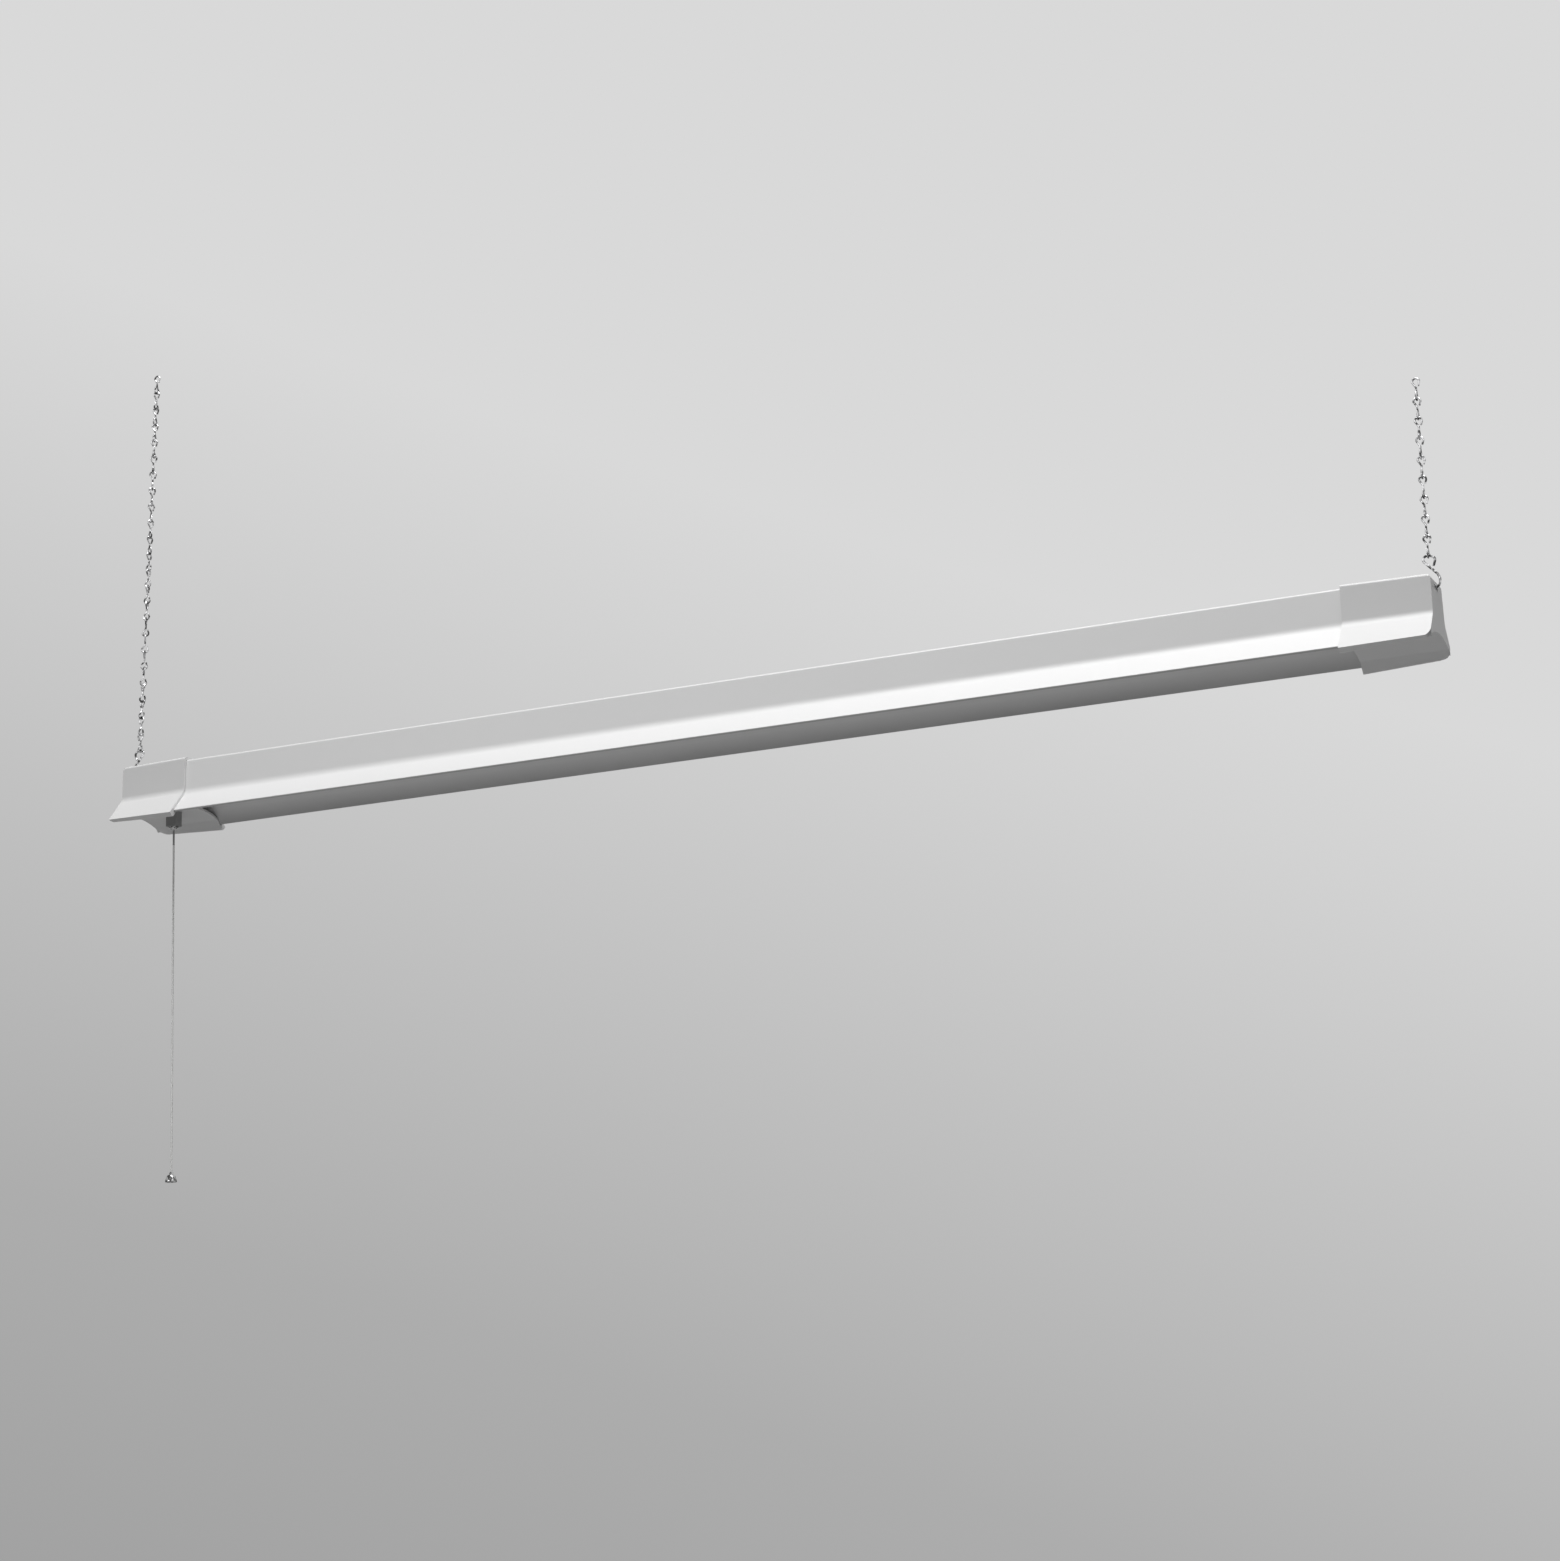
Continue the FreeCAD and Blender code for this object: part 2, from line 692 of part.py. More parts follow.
# ---------------------------------------------------------------- pull switch
def make_switch_body():
    half_w = switch_width / 2
    half_d = switch_depth / 2
    body = box(switch_x - half_w, switch_x + half_w, -half_d, half_d,
               switch_bottom, switch_top)
    upright = [e for e in body.Edges
               if abs(e.Vertexes[0].Z - e.Vertexes[1].Z) > (switch_top - switch_bottom) / 2]
    body = body.makeFillet(switch_round, upright)
    floor = vault_height + vault_wall
    half_f = half_w + switch_flange_reach
    flange = box(switch_x - half_f, switch_x + half_f, -half_d, half_d,
                 floor, floor + switch_flange_wall)
    seat = Part.makeCylinder(bushing_radius, bushing_seat, V(switch_x, 0, switch_bottom))
    bore = Part.makeCylinder(switch_bore_radius, plunger_top + 1 - switch_bottom,
                             V(switch_x, 0, switch_bottom))
    return body.fuse(flange).cut([seat, bore])


def make_bushing():
    tube = Part.makeCylinder(bushing_radius, bushing_top - bushing_bottom,
                             V(switch_x, 0, bushing_bottom))
    return tube.cut(Part.makeCylinder(bushing_bore_radius, bushing_top - bushing_bottom,
                                      V(switch_x, 0, bushing_bottom)))


def make_nut():
    ring = Part.makePolygon([V(switch_x + nut_radius * math.cos(math.radians(a)),
                               nut_radius * math.sin(math.radians(a)), switch_bottom)
                             for a in range(0, 361, 60)])
    nut = Part.Face(ring).extrude(V(0, 0, -nut_height))
    return nut.cut(Part.makeCylinder(bushing_radius, nut_height * 2,
                                     V(switch_x, 0, switch_bottom - nut_height * 1.5)))


# ---------------------------------------------------------------- pull cord
def cord_bar(top, bottom):
    return Part.makeCylinder(cord_radius, top - bottom, V(switch_x, 0, bottom))


def make_plunger():
    rod = cord_bar(plunger_top, bushing_bottom - cord_below_bushing)
    collar = Part.makeCylinder(switch_bore_radius - plunger_fit, plunger_collar_height,
                               V(switch_x, 0, plunger_top - plunger_collar_height))
    return rod.fuse(collar)


def make_ferrule():
    return cord_bar(bushing_bottom - cord_below_bushing - cord_pivot_gap, ferrule_bottom)


def make_cord():
    return cord_bar(ferrule_bottom - cord_pivot_gap, cord_bottom)


def make_bell():
    """Small bell with a straight rim, on a neck that grips the cord."""
    shoulder = cord_bottom - bell_neck_height
    rim = cord_bottom - bell_height
    turns = [math.radians(360.0 * k / bell_sides) for k in range(bell_sides)]
    rings = [[V(switch_x + radius * math.cos(a), radius * math.sin(a), z) for a in turns]
             for radius, z in ((bell_neck_radius, cord_bottom), (bell_neck_radius, shoulder),
                               (bell_shoulder_radius - 0.6, shoulder - 0.35),
                               (bell_shoulder_radius, shoulder - 1.0),
                               (bell_radius * 0.88, (shoulder + rim) / 2 - 0.3),
                               (bell_radius, rim + 1.3), (bell_radius, rim),
                               (bell_radius - 0.9, rim), (bell_radius * 0.4, rim + 1.5))]
    return ringed_solid(rings)


# ---------------------------------------------------------------- hooks and chains
def hook_place(offset):
    return V(hook_x + offset[0], 0, hook_slot_top + offset[1])


def hook_corners():
    """Right hook's centre line, in the plane Y = 0."""
    inside = hook_x - hook_bend_radius
    outside = hook_x + hook_bend_radius
    low = hook_eye_height - hook_bend_radius
    bend = hook_bend_radius * 0.999
    return [(V(inside, 0, hook_eye_height + hook_tip_rise), 0),
            (V(inside, 0, low), bend),
            (V(outside, 0, low), bend),
            (V(outside, 0, hook_slot_top + hook_shank_rise), hook_shank_bend),
            (hook_place(hook_inner_corner), hook_inner_bend),
            (hook_place(hook_apex), hook_apex_bend),
            (hook_place(hook_outer_corner), hook_outer_bend),
            (hook_place(hook_free_end), 0)]


def make_right_hook():
    return bent_wire(rounded_route(hook_corners(), 30.0), hook_wire / 2, V(0, 1, 0))


def hook_bearing():
    """Top of the right hook's centre line, where the last link hangs."""
    before, apex, after = [corner[0] for corner in hook_corners()[4:7]]
    return corner_points(before, apex, after, hook_apex_bend)[1]


def link_route():
    """One link of single jack chain: two loops, square to each other, bent from one wire."""
    top = loop_reach
    wide = top - loop_radius + loop_widest
    flat = loop_radius * math.tan(math.radians(22.5))
    half = [(tip_spacing, tip_height), (loop_radius, wide), (flat, top), (-flat, top),
            (-loop_radius, wide), (0, neck_half_length)]
    upper = [V(a, 0, b) for a, b in half]
    lower = [V(0, -a, -b) for a, b in reversed(half)]
    return upper + lower


def chain_links(side, count, lean, twists):
    """Links of one chain from the top down, standing on the hook's bearing point."""
    bearing = hook_bearing()
    base = V(side * bearing.x, 0,
             bearing.z - hook_wire / 2 - chain_wire / 2 - chain_gap)
    tilt = FreeCAD.Rotation(V(0, 1, 0), -side * lean)
    up = tilt.multVec(V(0, 0, 1))
    link = bent_wire(link_route(), chain_wire / 2, V(0, 1, 0))
    links = []
    for i in range(count):
        centre = base + up * (loop_reach + (count - 1 - i) * chain_pitch)
        turned = link.copy()
        turned.Placement = FreeCAD.Placement(
            centre, tilt.multiply(FreeCAD.Rotation(V(0, 0, 1), twists[i])))
        links.append(turned)
    return links, base, up


def left_twists():
    step = left_twist_total / (left_links - plain_links)
    return [max(0, i - plain_links + 1) * step for i in range(left_links)]


# ---------------------------------------------------------------- build and save
os.makedirs("parts", exist_ok=True)
left_chain, left_base, left_up = chain_links(-1, left_links, left_lean, left_twists())
right_chain, right_base, right_up = chain_links(1, right_links, right_lean,
                                                [0.0] * right_links)


def along(base, up, distance):
    return base + up * distance


top_loop = 2 * loop_reach + (left_links - 1) * chain_pitch - loop_radius
origin = along(left_base, left_up, top_loop)


def save(name, shape):
    moved = shape.copy()
    moved.translate(-origin)
    moved.exportStep("parts/%s.step" % name)


right_hook = make_right_hook()
boards = [make_board(start, end) for start, end in board_ends()]
pieces = {
    "housing": make_housing(),
    "left_end_cap": make_left_cap(),
    "right_end_cap": make_right_cap(cap_wing_round),
    "end_cap_screws": make_cap_screws(),
    "lens": make_lens(),
    "carrier_plate": make_carrier(),
    "left_led_board": boards[0],
    "right_led_board": boards[1],
    "led_chips": make_chips(),
    "board_connector": make_board_connector(),
    "led_driver": make_driver(),
    "switch_leads": make_switch_leads(),
    "wire_connectors": make_connectors(),
    "supply_leads": make_supply_leads(),
    "lamp_leads": make_lamp_leads(),
    "inlet_bushing": make_inlet_bushing(),
    "pull_switch_body": make_switch_body(),
    "switch_bushing": make_bushing(),
    "switch_nut": make_nut(),
    "pull_plunger": make_plunger(),
    "cord_ferrule": make_ferrule(),
    "pull_cord": make_cord(),
    "pull_bell": make_bell(),
    "right_hook": right_hook,
    "left_hook": mirror_x(right_hook),
    "left_chain_top_link": left_chain[0],
    "left_chain_second_link": left_chain[1],
    "left_chain": Part.makeCompound(left_chain[2:]),
    "right_chain_top_link": right_chain[0],
    "right_chain": Part.makeCompound(right_chain[1:]),
}
for name, shape in pieces.items():
    save(name, shape)


def report(label, point):
    place = point - origin
    print("%s %.4f %.4f %.4f" % (label, place.x, place.y, place.z))


report("light_centre", V(0, 0, 0))
report("left_top_pivot", along(left_base, left_up,
                               2 * loop_reach + (left_links - 2) * chain_pitch))
report("left_sway_pivot", along(left_base, left_up, (left_links - 2) * chain_pitch))
report("right_top_pivot", along(right_base, right_up,
                                2 * loop_reach + (right_links - 1) * chain_pitch))
report("right_loop", along(right_base, right_up,
                           2 * loop_reach + (right_links - 1) * chain_pitch - loop_radius))
report("left_hook_pivot", V(-hook_x, 0, hook_eye_height))
report("right_hook_pivot", V(hook_x, 0, hook_eye_height))
report("cord_pivot", V(switch_x, 0, bushing_bottom - cord_below_bushing - cord_pivot_gap / 2))
report("ferrule_pivot", V(switch_x, 0, ferrule_bottom - cord_pivot_gap / 2))
report("cord_top", V(switch_x, 0, ferrule_bottom - cord_pivot_gap))
report("cord_end", V(switch_x, 0, cord_bottom))
report("inlet_middle", V(inlet_x, 0, (housing_height + roof_inside) / 2))
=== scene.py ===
"""Hanging shop light: the looks of a long open-bottomed light on two jack chains, with a pull cord."""
import math

import bmesh
import bpy
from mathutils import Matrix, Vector


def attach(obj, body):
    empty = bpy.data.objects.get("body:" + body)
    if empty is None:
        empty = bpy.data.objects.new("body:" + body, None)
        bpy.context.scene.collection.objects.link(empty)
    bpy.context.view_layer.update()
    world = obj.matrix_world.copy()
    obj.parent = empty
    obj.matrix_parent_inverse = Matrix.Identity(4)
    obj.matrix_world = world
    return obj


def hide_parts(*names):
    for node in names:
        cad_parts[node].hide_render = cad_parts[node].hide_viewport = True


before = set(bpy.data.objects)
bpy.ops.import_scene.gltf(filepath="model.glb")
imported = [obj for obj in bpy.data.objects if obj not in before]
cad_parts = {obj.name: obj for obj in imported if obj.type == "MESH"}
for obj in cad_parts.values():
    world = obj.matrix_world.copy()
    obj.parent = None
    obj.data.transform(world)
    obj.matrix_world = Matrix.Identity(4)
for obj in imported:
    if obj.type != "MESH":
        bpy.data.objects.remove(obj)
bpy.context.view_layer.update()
collection = bpy.context.scene.collection

# ---------------------------------------------------------------- camera
# The photograph looks up at the light from in front of it, below it and past its
# right end, about 2.5 m from its middle, through a short telephoto lens.
lens_data = bpy.data.cameras.new("photo_camera")
lens_data.sensor_width = 36.0
lens_data.lens = 67.1396
camera = bpy.data.objects.new("photo_camera", lens_data)
collection.objects.link(camera)
camera.location = (1.61570, -2.18644, -0.99227)
camera.rotation_euler = [math.radians(a) for a in (102.20624, 2.10092, 24.49494)]
bpy.context.scene.camera = camera

# ---------------------------------------------------------------- pull cord
# A pale twisted cord, kept straight by the small bell at its end. Its first
# 14 mm is a dark ferrule that takes the wear where the cord leaves the switch.
light_centre = Vector((0.5899799, 0.0, -0.4367288))


def at(x, y, z):
    """A place given in millimetres from the middle of the light, at its lower edges."""
    return light_centre + Vector((x, y, z)) / 1000.0


class Field:
    """A number, colour or vector inside a node tree; sums of fields add their nodes."""

    def __init__(self, tree, socket=None):
        self.tree = tree
        self.socket = socket

    def node(self, kind, settings=None, values=None, out=0):
        made = self.tree.nodes.new(kind)
        for name, value in (settings or {}).items():
            if name == "stops":
                ramp = made.color_ramp.elements
                while len(ramp) < len(value):
                    ramp.new(0.5)
                for stop, (place, shade) in zip(ramp, value):
                    stop.position = place
                    stop.color = (shade, shade, shade, 1)
            else:
                setattr(made, name, value)
        for name, value in (values or {}).items():
            if isinstance(value, Field):
                self.tree.links.new(value.socket, made.inputs[name])
            else:
                made.inputs[name].default_value = value
        return Field(self.tree, made.outputs[out])

    def math(self, operation, other=0.0):
        return self.node("ShaderNodeMath", {"operation": operation}, {0: self, 1: other})

    def __add__(self, other):
        return self.math("ADD", other)

    __radd__ = __add__

    def __sub__(self, other):
        return self.math("SUBTRACT", other)

    def __rsub__(self, other):
        return self.node("ShaderNodeMath", {"operation": "SUBTRACT"}, {0: other, 1: self})

    def __mul__(self, other):
        return self.math("MULTIPLY", other)

    def axes(self):
        split = self.tree.nodes.new("ShaderNodeSeparateXYZ")
        self.tree.links.new(self.socket, split.inputs[0])
        return [Field(self.tree, split.outputs[k]) for k in range(3)]

    def noise(self, scale, detail=2.0, stretch=(1, 1, 1)):
        place = self.node("ShaderNodeMapping", None, {"Vector": self, "Scale": stretch})
        return self.node("ShaderNodeTexNoise", None,
                         {"Vector": place, "Scale": scale, "Detail": detail})

    def between(self, low, high):
        """Stretches what lies from low to high over 0 to 1."""
        return self.node("ShaderNodeMapRange", None, {0: self, 1: low, 2: high})

    def tint(self, dark, light):
        """The colour between two, by this field."""
        return self.node("ShaderNodeMix", {"data_type": "RGBA"},
                         {0: self, 6: (*dark, 1), 7: (*light, 1)}, out=2)


class Finish:
    """A material under way: its surface shader, and the place on the piece as a field."""

    def __init__(self, name, colour, roughness, metallic=0.0):
        self.material = bpy.data.materials.new(name)
        self.material.use_nodes = True
        self.tree = self.material.node_tree
        self.surface = self.tree.nodes["Principled BSDF"]
        self.surface.inputs["Base Color"].default_value = (*colour, 1)
        self.surface.inputs["Roughness"].default_value = roughness
        self.surface.inputs["Metallic"].default_value = metallic
        self.place = Field(self.tree).node("ShaderNodeTexCoord", out=3)

    def feed(self, socket, field):
        self.tree.links.new(field.socket, self.surface.inputs[socket])

    def bump(self, height, strength, distance):
        relief = height.node("ShaderNodeBump", None,
                             {"Strength": strength, "Distance": distance, "Height": height})
        self.feed("Normal", relief)


def wear(piece, finish, body, slot, *nodes):
    """Gives a piece its finish, the body it moves with and the nodes it stands for."""
    piece.data.materials.clear()
    piece.data.materials.append(finish.material)
    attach(piece, body)
    if nodes:
        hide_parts(*nodes)
    return piece


switch_x = -567.0
ferrule_top = at(switch_x, 0, -9.05)
cord_top = at(switch_x, 0, -23.4)
cord_end = at(switch_x, 0, -325.0)
cord_width = 0.0018
cord_strands = 3.0
strand_phase = 2800.0          # radians of the strands' wave per metre along the cord

cord_curve = bpy.data.curves.new("pull_cord_line", "CURVE")
cord_curve.dimensions = "3D"
cord_curve.bevel_depth = cord_width / 2
cord_curve.bevel_resolution = 4
cord_curve.use_fill_caps = True
spline = cord_curve.splines.new("NURBS")
spline.points.add(4)
for point, share in zip(spline.points, (0.0, 0.25, 0.5, 0.75, 1.0)):
    point.co = (*cord_top.lerp(cord_end, share), 1)
spline.order_u = 3
spline.use_endpoint_u = True
pull_cord = bpy.data.objects.new("twisted_pull_cord", cord_curve)
collection.objects.link(pull_cord)

cord_finish = Finish("pale_twisted_cord", (0.90, 0.90, 0.89), 0.55)
x, y, z = cord_finish.place.axes()
around = y.math("ARCTAN2", x - cord_top.x)
strands = (around * cord_strands + z * strand_phase).math("SINE") * 0.5 + 0.5
cord_finish.feed("Base Color", strands.tint((0.84, 0.84, 0.83), (0.93, 0.93, 0.92)))
cord_finish.bump(strands, 0.5, 0.0002)
wear(pull_cord, cord_finish, "cord_and_bell", "cord_plastic", "pull_cord")


def turned(name, rings, centre, sides=40):
    """A closed turned piece about the upright line through centre, from (radius, height) in mm."""
    mesh = bmesh.new()
    rows = []
    for radius, height in rings:
        row = []
        for k in range(sides):
            angle = math.tau * k / sides
            row.append(mesh.verts.new(centre + Vector(
                (radius * math.cos(angle), radius * math.sin(angle), height)) / 1000))
        rows.append(row)
    for low, high in zip(rows, rows[1:]):
        for k in range(sides):
            n = (k + 1) % sides
            mesh.faces.new((low[k], low[n], high[n], high[k]))
    mesh.faces.new(rows[0])
    mesh.faces.new(rows[-1])
    bmesh.ops.recalc_face_normals(mesh, faces=mesh.faces)
    return shaded(name, mesh)


def shaded(name, mesh, sharp=40.0):
    """Makes the piece of a mesh, smooth except over edges sharper than so many degrees."""
    data = bpy.data.meshes.new(name)
    mesh.to_mesh(data)
    mesh.free()
    data.shade_smooth()
    data.set_sharp_from_angle(angle=math.radians(sharp))
    piece = bpy.data.objects.new(name, data)
    collection.objects.link(piece)
    return piece


ferrule = turned("cord_ferrule_sleeve", [
    (0.35, -0.1), (0.7, -0.4), (0.9, -0.9), (0.9, -12.6), (0.95, -13.2), (0.95, -14.1),
    (0.7, -14.55)], ferrule_top, 24)
ferrule_finish = Finish("dark_ferrule", (0.32, 0.32, 0.32), 0.45)
ferrule_finish.feed("Roughness", 0.38 + ferrule_finish.place.noise(900) * 0.15)
wear(ferrule, ferrule_finish, "cord_top_length", "stub_plastic", "cord_ferrule")

bell = turned("pull_bell_turned", [
    (1.5, 0.0), (1.8, -0.3), (1.8, -1.9), (2.3, -2.25), (3.0, -2.5), (3.6, -3.0), (4.05, -3.9),
    (4.55, -5.2), (4.95, -6.4), (5.25, -7.2), (5.4, -7.7), (5.4, -8.7), (5.2, -9.0), (4.6, -9.0),
    (4.3, -8.8), (3.6, -8.3), (2.2, -7.6), (0.6, -7.5)], cord_end, 48)
bell_finish = Finish("plated_bell", (0.30, 0.30, 0.30), 0.12, 1.0)
# Painted reflection: dark and bright patches in the bell's base colour stand in for what its chrome
# reflects; the same noise varies its roughness.
bell_painted_reflection = bell_finish.place.noise(380, 2)
bell_finish.feed("Base Color", bell_painted_reflection.between(0.40, 0.60).tint((0.07,) * 3, (0.62,) * 3))
bell_finish.feed("Roughness", 0.08 + bell_painted_reflection * 0.14)
wear(bell, bell_finish, "cord_and_bell", "bell_chrome", "pull_bell")

# ---------------------------------------------------------------- housing
# Thin sheet steel rolled into one long open-bottomed section: a flat roof, two
# side walls and two wings bent outwards, painted white inside and out.
housing_half_length = 551.75
roof = 51.0
roof_half_width = 18.4
bend_height = 19.6
bend_half_width = 20.2
tip_height = 0.3
tip_half_width = 37.6
wall = 1.2
tip_wall = 2.5
hem_height = 7.0               # below here the wing thickens towards its tip
bend_radius = 12.0
slides = ((25.0, 26.2), (31.3, 32.8))   # heights of the lens's feet and the carrier plate
rib_reach = 2.3
rib_wall = 1.1
groove_clearance = 0.15
inlet_x = -455.0

side_slope = (roof_half_width - bend_half_width) / (roof - bend_height)
wing_slope = (bend_half_width - tip_half_width) / (bend_height - tip_height)
wing_length = math.hypot(tip_half_width - bend_half_width, bend_height - tip_height)
wing_out = ((bend_height - tip_height) / wing_length,
            (tip_half_width - bend_half_width) / wing_length)


def side_at(height, depth):
    """Half width of the side wall at a height, so deep inside its outer face."""
    return (bend_half_width + side_slope * (height - bend_height)
            - depth * math.hypot(1, side_slope))


def wing_at(height, depth):
    return (bend_half_width + wing_slope * (height - bend_height)
            - depth * math.hypot(1, wing_slope))


inner_bend = bend_height + wall * (math.hypot(1, wing_slope) - math.hypot(1, side_slope)) / (
    wing_slope - side_slope)
housing_corners = [(0, roof, 0), (roof_half_width, roof, 2.0),
                   (bend_half_width, bend_height, bend_radius),
                   (tip_half_width, tip_height, 0.5),
                   (tip_half_width - tip_wall * wing_out[0], tip_height - tip_wall * wing_out[1],
                    0.8),
                   (wing_at(hem_height, wall), hem_height, 0),
                   (side_at(inner_bend, wall), inner_bend, bend_radius + wall - 2.0)]
for foot, top in slides:
    for low in (foot - groove_clearance - rib_wall, top + groove_clearance):
        for height, depth in ((low, wall), (low, wall + rib_reach),
                              (low + rib_wall, wall + rib_reach), (low + rib_wall, wall)):
            housing_corners.append((side_at(height, depth), height, 0))
housing_corners.append((side_at(roof - wall, wall), roof - wall, 0.8))


def socket_names(tree, names):
    """Adds the named inputs of a geometry tree and its geometry output."""
    tree.interface.new_socket("Geometry", in_out="INPUT", socket_type="NodeSocketGeometry")
    for name, kind in names.items():
        tree.interface.new_socket(name, in_out="INPUT", socket_type="NodeSocket" + kind)
    tree.interface.new_socket("Geometry", in_out="OUTPUT", socket_type="NodeSocketGeometry")
    group = tree.nodes.new("NodeGroupInput")
    return {s.name: Field(tree, s) for s in group.outputs if s.name}


def close_tree(tree, geometry, material):
    """Ends a geometry tree: real meshes, smooth, in their material."""
    real = geometry.node("GeometryNodeRealizeInstances", None, {0: geometry})
    smooth = real.node("GeometryNodeSetShadeSmooth", None, {0: real})
    dressed = smooth.node("GeometryNodeSetMaterial", None, {0: smooth, "Material": material})
    last = tree.nodes.new("NodeGroupOutput")
    tree.links.new(dressed.socket, last.inputs[0])


def made_by(tree, name, points, bends, closed, values, sharp=35.0):
    """Runs a geometry tree on a line of corners and keeps what it makes as a plain mesh."""
    edges = [(k, k + 1) for k in range(len(points) - 1)]
    if closed:
        edges.append((len(points) - 1, 0))
    line = bpy.data.meshes.new(name)
    line.from_pydata([Vector(p) / 1000 for p in points], edges, [])
    line.attributes.new("bend", "FLOAT", "POINT").data.foreach_set(
        "value", [b / 1000 for b in bends])
    piece = bpy.data.objects.new(name, line)
    collection.objects.link(piece)
    modifier = piece.modifiers.new(tree.name, "NODES")
    modifier.node_group = tree
    for item in tree.interface.items_tree:
        if item.in_out == "INPUT" and item.name in values:
            modifier[item.identifier] = values[item.name]
    piece.update_tag()
    ready = piece.evaluated_get(bpy.context.evaluated_depsgraph_get())
    plain = bpy.data.meshes.new_from_object(ready)
    piece.modifiers.clear()
    mesh = bmesh.new()
    mesh.from_mesh(plain)
    bmesh.ops.remove_doubles(mesh, verts=mesh.verts, dist=1e-6)
    bmesh.ops.recalc_face_normals(mesh, faces=mesh.faces)
    mesh.to_mesh(plain)
    mesh.free()
    plain.shade_smooth()
    plain.set_sharp_from_angle(angle=math.radians(sharp))
    piece.data = plain
    return piece


def section_tree(name, material):
    """A closed section swept along the light, with its corners rounded by their bends."""
    tree = bpy.data.node_groups.new(name, "GeometryNodeTree")
    inputs = socket_names(tree, {"Start": "Float", "Length": "Float", "Height": "Float",
                                 "Bend steps": "Int", "Hole radius": "Float",
                                 "Hole place": "Vector"})
    corners = inputs["Geometry"]
    curve = corners.node("GeometryNodeMeshToCurve", None, {0: corners})
    bend = corners.node("GeometryNodeInputNamedAttribute", {"data_type": "FLOAT"},
                        {"Name": "bend"})
    rounded = corners.node("GeometryNodeFilletCurve", {"mode": "POLY"},
                           {"Curve": curve, "Count": inputs["Bend steps"], "Radius": bend,
                            "Limit Radius": True})
    far = corners.node("ShaderNodeCombineXYZ", None, {"Z": inputs["Length"]})
    path = corners.node("GeometryNodeCurvePrimitiveLine", None, {"End": far})
    swept = corners.node("GeometryNodeCurveToMesh", None,
                         {"Curve": path, "Profile Curve": rounded, "Fill Caps": True})
    start = corners.node("ShaderNodeCombineXYZ", None,
                         {"X": inputs["Start"], "Z": inputs["Height"]})
    laid = corners.node("GeometryNodeTransform", None,
                        {"Geometry": swept, "Translation": start,
                         "Rotation": (math.pi / 2, 0, math.pi / 2)})
    drill = corners.node("GeometryNodeMeshCylinder", None,
                         {"Vertices": 32, "Radius": inputs["Hole radius"], "Depth": 0.01})
    placed = corners.node("GeometryNodeTransform", None,
                          {"Geometry": drill, "Translation": inputs["Hole place"]})
    holed = corners.node("GeometryNodeMeshBoolean", {"operation": "DIFFERENCE"},
                         {0: laid, 1: placed})
    close_tree(tree, holed, material)
    return tree


def both_sides(half):
    """A section's right half, first corner on the centre line, and then its left half."""
    whole = [(y, z, 0.0) for y, z, _ in half]
    whole += [(-y, z, 0.0) for y, z, _ in reversed(half[1:])]
    rounds = [r for _, _, r in half] + [r for _, _, r in reversed(half[1:])]
    return whole, rounds


paint = Finish("white_baked_paint", (0.73, 0.73, 0.73), 0.42)
peel = paint.place.noise(620, 2)
cloud = paint.place.noise(9, 3)
_, y, z = paint.place.axes()
rise = (z - light_centre.z) * 1000.0
outer_face = bend_half_width * wing_out[0] + bend_height * wing_out[1]
inwards = outer_face - y.math("ABSOLUTE") * (1000.0 * wing_out[0]) - rise * wing_out[1]
painted_shade_top = 11.76               # painted shade darkens the inside of the wings, from their tips up to here
# Painted shade: the base colour darkens inside the wings towards their tips, by an amount that varies
# with the faint clouding.
painted_shade = inwards.math("GREATER_THAN", 0.5) * (1.0 - rise * (1 / painted_shade_top)).math(
    "MAXIMUM", 0.0).math("MINIMUM", 1.0)
# The paint's base colour: an even white with faint random clouding, less the painted shade inside the
# wings.
coat = cloud * 0.025 + 0.72 - painted_shade * (0.15 + cloud * 0.2)
paint.feed("Base Color", coat)
paint.feed("Roughness", 0.36 + peel * 0.10)
paint.bump(peel, 0.10, 0.00025)

points, bends = both_sides(housing_corners)
housing = made_by(section_tree("rolled_section", paint.material), "painted_housing",
                  points, bends, True,
                  {"Start": at(-housing_half_length, 0, 0).x,
                   "Length": 2 * housing_half_length / 1000, "Height": light_centre.z,
                   "Bend steps": 10, "Hole radius": 0.0055,
                   "Hole place": at(inlet_x, 0, roof - 1.0)})
wear(housing, paint, "light", "housing_metal", "housing")

# ---------------------------------------------------------------- end caps
# One moulding for each end, a little larger than the housing, that slips over it.
# Each tapers to its end wall and has an arched plate that closes it from below.


def moulded(name, node, edge, sharp=30.0):
    """The node's own form with its sharp edges softened as a mould leaves them."""
    mesh = bmesh.new()
    mesh.from_mesh(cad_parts[node].data)
    bmesh.ops.remove_doubles(mesh, verts=mesh.verts, dist=2e-6)
    bmesh.ops.dissolve_limit(mesh, angle_limit=math.radians(0.4), verts=mesh.verts,
                             edges=mesh.edges)
    bmesh.ops.recalc_face_normals(mesh, faces=mesh.faces)
    piece = shaded(name, mesh, sharp)
    soft = piece.modifiers.new("soft_edges", "BEVEL")
    soft.width = edge / 1000
    soft.segments = 2
    soft.limit_method = "ANGLE"
    soft.angle_limit = math.radians(sharp)
    even = piece.modifiers.new("even_faces", "WEIGHTED_NORMAL")
    even.keep_sharp = False
    ready = piece.evaluated_get(bpy.context.evaluated_depsgraph_get())
    plain = bpy.data.meshes.new_from_object(ready)
    piece.modifiers.clear()
    piece.data = plain
    return piece


